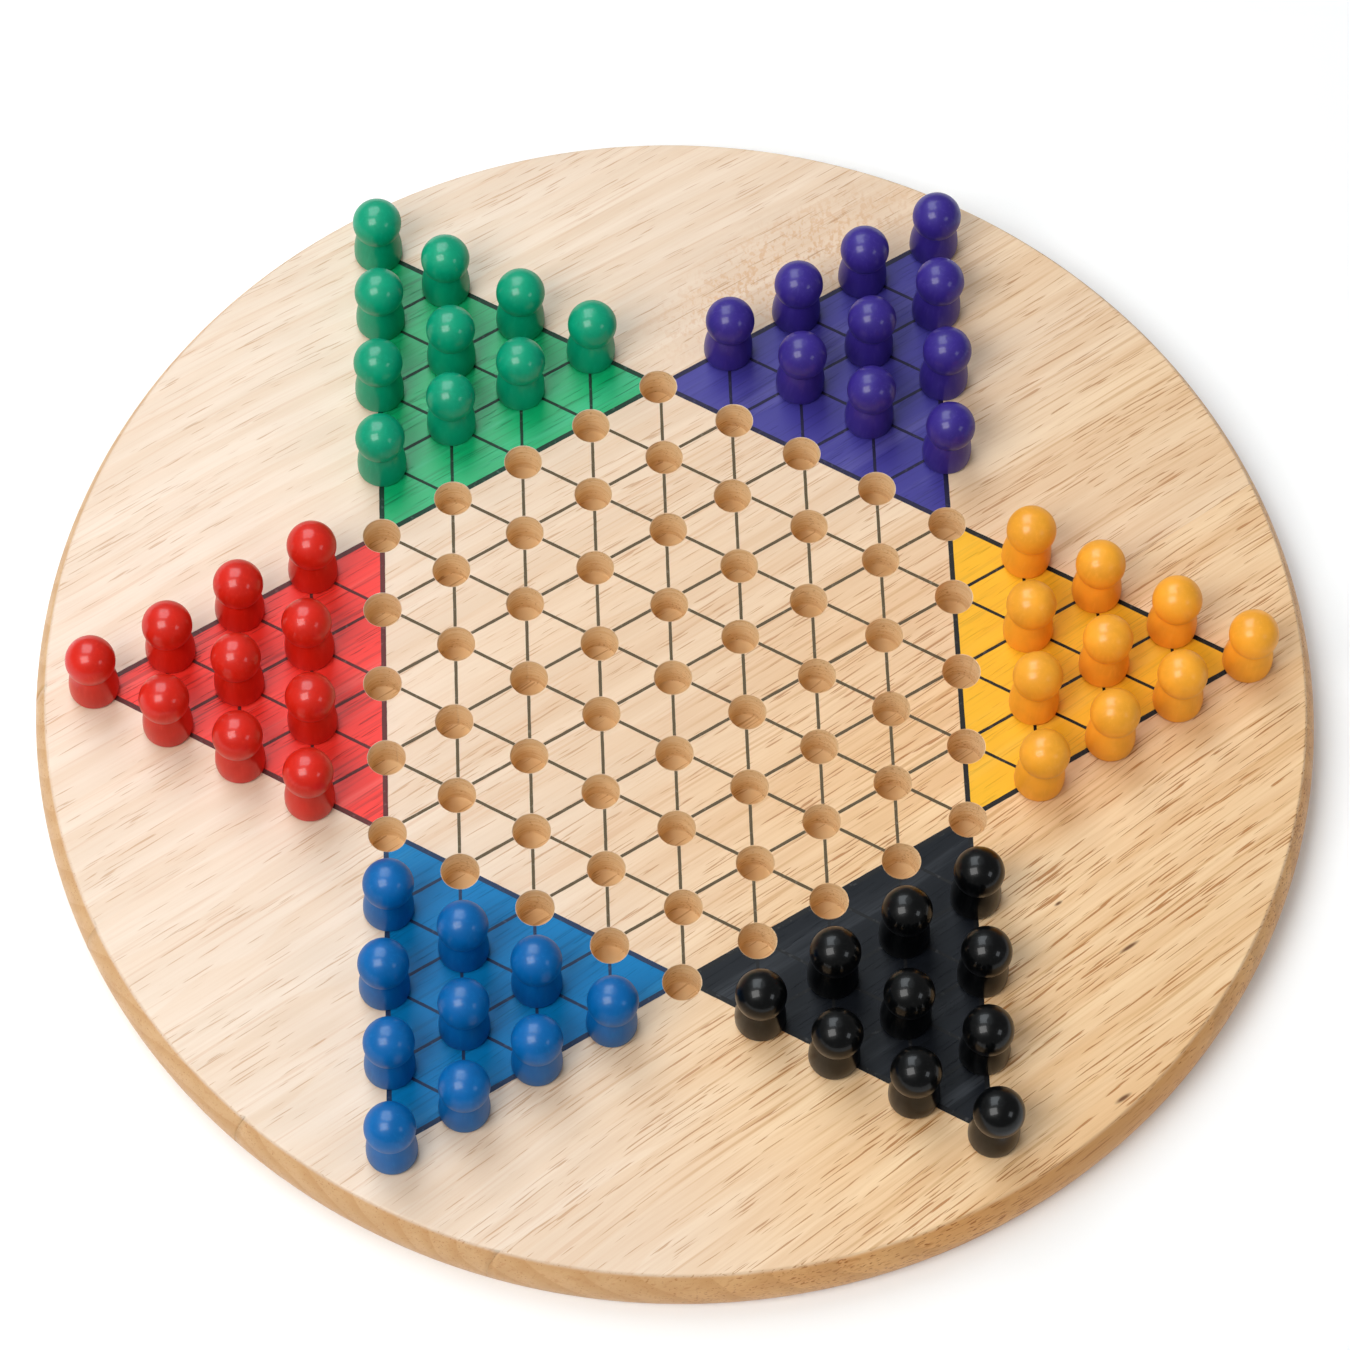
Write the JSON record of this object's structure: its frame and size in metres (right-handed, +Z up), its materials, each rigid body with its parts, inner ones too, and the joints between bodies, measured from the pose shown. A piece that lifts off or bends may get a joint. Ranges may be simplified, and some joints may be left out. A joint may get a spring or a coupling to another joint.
{
  "type": "peg board game",
  "caption": "Round natural-wood star board game with drilled holes and turned wooden pegs with ball heads, standing in stained star points of their own colour",
  "frame": {"origin": "centre of the board's flat underside, on the surface it stands on", "axes": "+Z up out of the board's top; +X towards the yellow star point; +Y towards the gap between the purple and green points"},
  "size_m": [0.292, 0.292, 0.0321],
  "materials": {
    "board_wood": "clear satin lacquer on pale rubberwood, star points stained in six colours",
    "yellow_paint": "satin paint on turned wood",
    "purple_paint": "gloss paint on turned wood",
    "green_paint": "gloss paint on turned wood",
    "red_paint": "gloss paint on turned wood",
    "blue_paint": "satin paint on turned wood",
    "black_paint": "high gloss paint on turned wood"
  },
  "bodies": {
    "board": {"board": "board_wood"},
    "yellow_peg_01": {"yellow_peg_01": "yellow_paint"},
    "yellow_peg_02": {"yellow_peg_02": "yellow_paint"},
    "yellow_peg_03": {"yellow_peg_03": "yellow_paint"},
    "yellow_peg_04": {"yellow_peg_04": "yellow_paint"},
    "yellow_peg_05": {"yellow_peg_05": "yellow_paint"},
    "yellow_peg_06": {"yellow_peg_06": "yellow_paint"},
    "yellow_peg_07": {"yellow_peg_07": "yellow_paint"},
    "yellow_peg_08": {"yellow_peg_08": "yellow_paint"},
    "yellow_peg_09": {"yellow_peg_09": "yellow_paint"},
    "yellow_peg_10": {"yellow_peg_10": "yellow_paint"},
    "purple_peg_01": {"purple_peg_01": "purple_paint"},
    "purple_peg_02": {"purple_peg_02": "purple_paint"},
    "purple_peg_03": {"purple_peg_03": "purple_paint"},
    "purple_peg_04": {"purple_peg_04": "purple_paint"},
    "purple_peg_05": {"purple_peg_05": "purple_paint"},
    "purple_peg_06": {"purple_peg_06": "purple_paint"},
    "purple_peg_07": {"purple_peg_07": "purple_paint"},
    "purple_peg_08": {"purple_peg_08": "purple_paint"},
    "purple_peg_09": {"purple_peg_09": "purple_paint"},
    "purple_peg_10": {"purple_peg_10": "purple_paint"},
    "green_peg_01": {"green_peg_01": "green_paint"},
    "green_peg_02": {"green_peg_02": "green_paint"},
    "green_peg_03": {"green_peg_03": "green_paint"},
    "green_peg_04": {"green_peg_04": "green_paint"},
    "green_peg_05": {"green_peg_05": "green_paint"},
    "green_peg_06": {"green_peg_06": "green_paint"},
    "green_peg_07": {"green_peg_07": "green_paint"},
    "green_peg_08": {"green_peg_08": "green_paint"},
    "green_peg_09": {"green_peg_09": "green_paint"},
    "green_peg_10": {"green_peg_10": "green_paint"},
    "red_peg_01": {"red_peg_01": "red_paint"},
    "red_peg_02": {"red_peg_02": "red_paint"},
    "red_peg_03": {"red_peg_03": "red_paint"},
    "red_peg_04": {"red_peg_04": "red_paint"},
    "red_peg_05": {"red_peg_05": "red_paint"},
    "red_peg_06": {"red_peg_06": "red_paint"},
    "red_peg_07": {"red_peg_07": "red_paint"},
    "red_peg_08": {"red_peg_08": "red_paint"},
    "red_peg_09": {"red_peg_09": "red_paint"},
    "red_peg_10": {"red_peg_10": "red_paint"},
    "blue_peg_01": {"blue_peg_01": "blue_paint"},
    "blue_peg_02": {"blue_peg_02": "blue_paint"},
    "blue_peg_03": {"blue_peg_03": "blue_paint"},
    "blue_peg_04": {"blue_peg_04": "blue_paint"},
    "blue_peg_05": {"blue_peg_05": "blue_paint"},
    "blue_peg_06": {"blue_peg_06": "blue_paint"},
    "blue_peg_07": {"blue_peg_07": "blue_paint"},
    "blue_peg_08": {"blue_peg_08": "blue_paint"},
    "blue_peg_09": {"blue_peg_09": "blue_paint"},
    "blue_peg_10": {"blue_peg_10": "blue_paint"},
    "black_peg_01": {"black_peg_01": "black_paint"},
    "black_peg_02": {"black_peg_02": "black_paint"},
    "black_peg_03": {"black_peg_03": "black_paint"},
    "black_peg_04": {"black_peg_04": "black_paint"},
    "black_peg_05": {"black_peg_05": "black_paint"},
    "black_peg_06": {"black_peg_06": "black_paint"},
    "black_peg_07": {"black_peg_07": "black_paint"},
    "black_peg_08": {"black_peg_08": "black_paint"},
    "black_peg_09": {"black_peg_09": "black_paint"}
  },
  "joints": [
    {"name": "yellow_peg_01_lift", "type": "slide", "parent": "board", "child": "yellow_peg_01", "axis": [0, 0, 1], "range_m": [0, 0.03]},
    {"name": "yellow_peg_02_lift", "type": "slide", "parent": "board", "child": "yellow_peg_02", "axis": [0, 0, 1], "range_m": [0, 0.03]},
    {"name": "yellow_peg_03_lift", "type": "slide", "parent": "board", "child": "yellow_peg_03", "axis": [0, 0, 1], "range_m": [0, 0.03]},
    {"name": "yellow_peg_04_lift", "type": "slide", "parent": "board", "child": "yellow_peg_04", "axis": [0, 0, 1], "range_m": [0, 0.03]},
    {"name": "yellow_peg_05_lift", "type": "slide", "parent": "board", "child": "yellow_peg_05", "axis": [0, 0, 1], "range_m": [0, 0.03]},
    {"name": "yellow_peg_06_lift", "type": "slide", "parent": "board", "child": "yellow_peg_06", "axis": [0, 0, 1], "range_m": [0, 0.03]},
    {"name": "yellow_peg_07_lift", "type": "slide", "parent": "board", "child": "yellow_peg_07", "axis": [0, 0, 1], "range_m": [0, 0.03]},
    {"name": "yellow_peg_08_lift", "type": "slide", "parent": "board", "child": "yellow_peg_08", "axis": [0, 0, 1], "range_m": [0, 0.03]},
    {"name": "yellow_peg_09_lift", "type": "slide", "parent": "board", "child": "yellow_peg_09", "axis": [0, 0, 1], "range_m": [0, 0.03]},
    {"name": "yellow_peg_10_lift", "type": "slide", "parent": "board", "child": "yellow_peg_10", "axis": [0, 0, 1], "range_m": [0, 0.03]},
    {"name": "purple_peg_01_lift", "type": "slide", "parent": "board", "child": "purple_peg_01", "axis": [0, 0, 1], "range_m": [0, 0.03]},
    {"name": "purple_peg_02_lift", "type": "slide", "parent": "board", "child": "purple_peg_02", "axis": [0, 0, 1], "range_m": [0, 0.03]},
    {"name": "purple_peg_03_lift", "type": "slide", "parent": "board", "child": "purple_peg_03", "axis": [0, 0, 1], "range_m": [0, 0.03]},
    {"name": "purple_peg_04_lift", "type": "slide", "parent": "board", "child": "purple_peg_04", "axis": [0, 0, 1], "range_m": [0, 0.03]},
    {"name": "purple_peg_05_lift", "type": "slide", "parent": "board", "child": "purple_peg_05", "axis": [0, 0, 1], "range_m": [0, 0.03]},
    {"name": "purple_peg_06_lift", "type": "slide", "parent": "board", "child": "purple_peg_06", "axis": [0, 0, 1], "range_m": [0, 0.03]},
    {"name": "purple_peg_07_lift", "type": "slide", "parent": "board", "child": "purple_peg_07", "axis": [0, 0, 1], "range_m": [0, 0.03]},
    {"name": "purple_peg_08_lift", "type": "slide", "parent": "board", "child": "purple_peg_08", "axis": [0, 0, 1], "range_m": [0, 0.03]},
    {"name": "purple_peg_09_lift", "type": "slide", "parent": "board", "child": "purple_peg_09", "axis": [0, 0, 1], "range_m": [0, 0.03]},
    {"name": "purple_peg_10_lift", "type": "slide", "parent": "board", "child": "purple_peg_10", "axis": [0, 0, 1], "range_m": [0, 0.03]},
    {"name": "green_peg_01_lift", "type": "slide", "parent": "board", "child": "green_peg_01", "axis": [0, 0, 1], "range_m": [0, 0.03]},
    {"name": "green_peg_02_lift", "type": "slide", "parent": "board", "child": "green_peg_02", "axis": [0, 0, 1], "range_m": [0, 0.03]},
    {"name": "green_peg_03_lift", "type": "slide", "parent": "board", "child": "green_peg_03", "axis": [0, 0, 1], "range_m": [0, 0.03]},
    {"name": "green_peg_04_lift", "type": "slide", "parent": "board", "child": "green_peg_04", "axis": [0, 0, 1], "range_m": [0, 0.03]},
    {"name": "green_peg_05_lift", "type": "slide", "parent": "board", "child": "green_peg_05", "axis": [0, 0, 1], "range_m": [0, 0.03]},
    {"name": "green_peg_06_lift", "type": "slide", "parent": "board", "child": "green_peg_06", "axis": [0, 0, 1], "range_m": [0, 0.03]},
    {"name": "green_peg_07_lift", "type": "slide", "parent": "board", "child": "green_peg_07", "axis": [0, 0, 1], "range_m": [0, 0.03]},
    {"name": "green_peg_08_lift", "type": "slide", "parent": "board", "child": "green_peg_08", "axis": [0, 0, 1], "range_m": [0, 0.03]},
    {"name": "green_peg_09_lift", "type": "slide", "parent": "board", "child": "green_peg_09", "axis": [0, 0, 1], "range_m": [0, 0.03]},
    {"name": "green_peg_10_lift", "type": "slide", "parent": "board", "child": "green_peg_10", "axis": [0, 0, 1], "range_m": [0, 0.03]},
    {"name": "red_peg_01_lift", "type": "slide", "parent": "board", "child": "red_peg_01", "axis": [0, 0, 1], "range_m": [0, 0.03]},
    {"name": "red_peg_02_lift", "type": "slide", "parent": "board", "child": "red_peg_02", "axis": [0, 0, 1], "range_m": [0, 0.03]},
    {"name": "red_peg_03_lift", "type": "slide", "parent": "board", "child": "red_peg_03", "axis": [0, 0, 1], "range_m": [0, 0.03]},
    {"name": "red_peg_04_lift", "type": "slide", "parent": "board", "child": "red_peg_04", "axis": [0, 0, 1], "range_m": [0, 0.03]},
    {"name": "red_peg_05_lift", "type": "slide", "parent": "board", "child": "red_peg_05", "axis": [0, 0, 1], "range_m": [0, 0.03]},
    {"name": "red_peg_06_lift", "type": "slide", "parent": "board", "child": "red_peg_06", "axis": [0, 0, 1], "range_m": [0, 0.03]},
    {"name": "red_peg_07_lift", "type": "slide", "parent": "board", "child": "red_peg_07", "axis": [0, 0, 1], "range_m": [0, 0.03]},
    {"name": "red_peg_08_lift", "type": "slide", "parent": "board", "child": "red_peg_08", "axis": [0, 0, 1], "range_m": [0, 0.03]},
    {"name": "red_peg_09_lift", "type": "slide", "parent": "board", "child": "red_peg_09", "axis": [0, 0, 1], "range_m": [0, 0.03]},
    {"name": "red_peg_10_lift", "type": "slide", "parent": "board", "child": "red_peg_10", "axis": [0, 0, 1], "range_m": [0, 0.03]},
    {"name": "blue_peg_01_lift", "type": "slide", "parent": "board", "child": "blue_peg_01", "axis": [0, 0, 1], "range_m": [0, 0.03]},
    {"name": "blue_peg_02_lift", "type": "slide", "parent": "board", "child": "blue_peg_02", "axis": [0, 0, 1], "range_m": [0, 0.03]},
    {"name": "blue_peg_03_lift", "type": "slide", "parent": "board", "child": "blue_peg_03", "axis": [0, 0, 1], "range_m": [0, 0.03]},
    {"name": "blue_peg_04_lift", "type": "slide", "parent": "board", "child": "blue_peg_04", "axis": [0, 0, 1], "range_m": [0, 0.03]},
    {"name": "blue_peg_05_lift", "type": "slide", "parent": "board", "child": "blue_peg_05", "axis": [0, 0, 1], "range_m": [0, 0.03]},
    {"name": "blue_peg_06_lift", "type": "slide", "parent": "board", "child": "blue_peg_06", "axis": [0, 0, 1], "range_m": [0, 0.03]},
    {"name": "blue_peg_07_lift", "type": "slide", "parent": "board", "child": "blue_peg_07", "axis": [0, 0, 1], "range_m": [0, 0.03]},
    {"name": "blue_peg_08_lift", "type": "slide", "parent": "board", "child": "blue_peg_08", "axis": [0, 0, 1], "range_m": [0, 0.03]},
    {"name": "blue_peg_09_lift", "type": "slide", "parent": "board", "child": "blue_peg_09", "axis": [0, 0, 1], "range_m": [0, 0.03]},
    {"name": "blue_peg_10_lift", "type": "slide", "parent": "board", "child": "blue_peg_10", "axis": [0, 0, 1], "range_m": [0, 0.03]},
    {"name": "black_peg_01_lift", "type": "slide", "parent": "board", "child": "black_peg_01", "axis": [0, 0, 1], "range_m": [0, 0.03]},
    {"name": "black_peg_02_lift", "type": "slide", "parent": "board", "child": "black_peg_02", "axis": [0, 0, 1], "range_m": [0, 0.03]},
    {"name": "black_peg_03_lift", "type": "slide", "parent": "board", "child": "black_peg_03", "axis": [0, 0, 1], "range_m": [0, 0.03]},
    {"name": "black_peg_04_lift", "type": "slide", "parent": "board", "child": "black_peg_04", "axis": [0, 0, 1], "range_m": [0, 0.03]},
    {"name": "black_peg_05_lift", "type": "slide", "parent": "board", "child": "black_peg_05", "axis": [0, 0, 1], "range_m": [0, 0.03]},
    {"name": "black_peg_06_lift", "type": "slide", "parent": "board", "child": "black_peg_06", "axis": [0, 0, 1], "range_m": [0, 0.03]},
    {"name": "black_peg_07_lift", "type": "slide", "parent": "board", "child": "black_peg_07", "axis": [0, 0, 1], "range_m": [0, 0.03]},
    {"name": "black_peg_08_lift", "type": "slide", "parent": "board", "child": "black_peg_08", "axis": [0, 0, 1], "range_m": [0, 0.03]},
    {"name": "black_peg_09_lift", "type": "slide", "parent": "board", "child": "black_peg_09", "axis": [0, 0, 1], "range_m": [0, 0.03]}
  ]
}
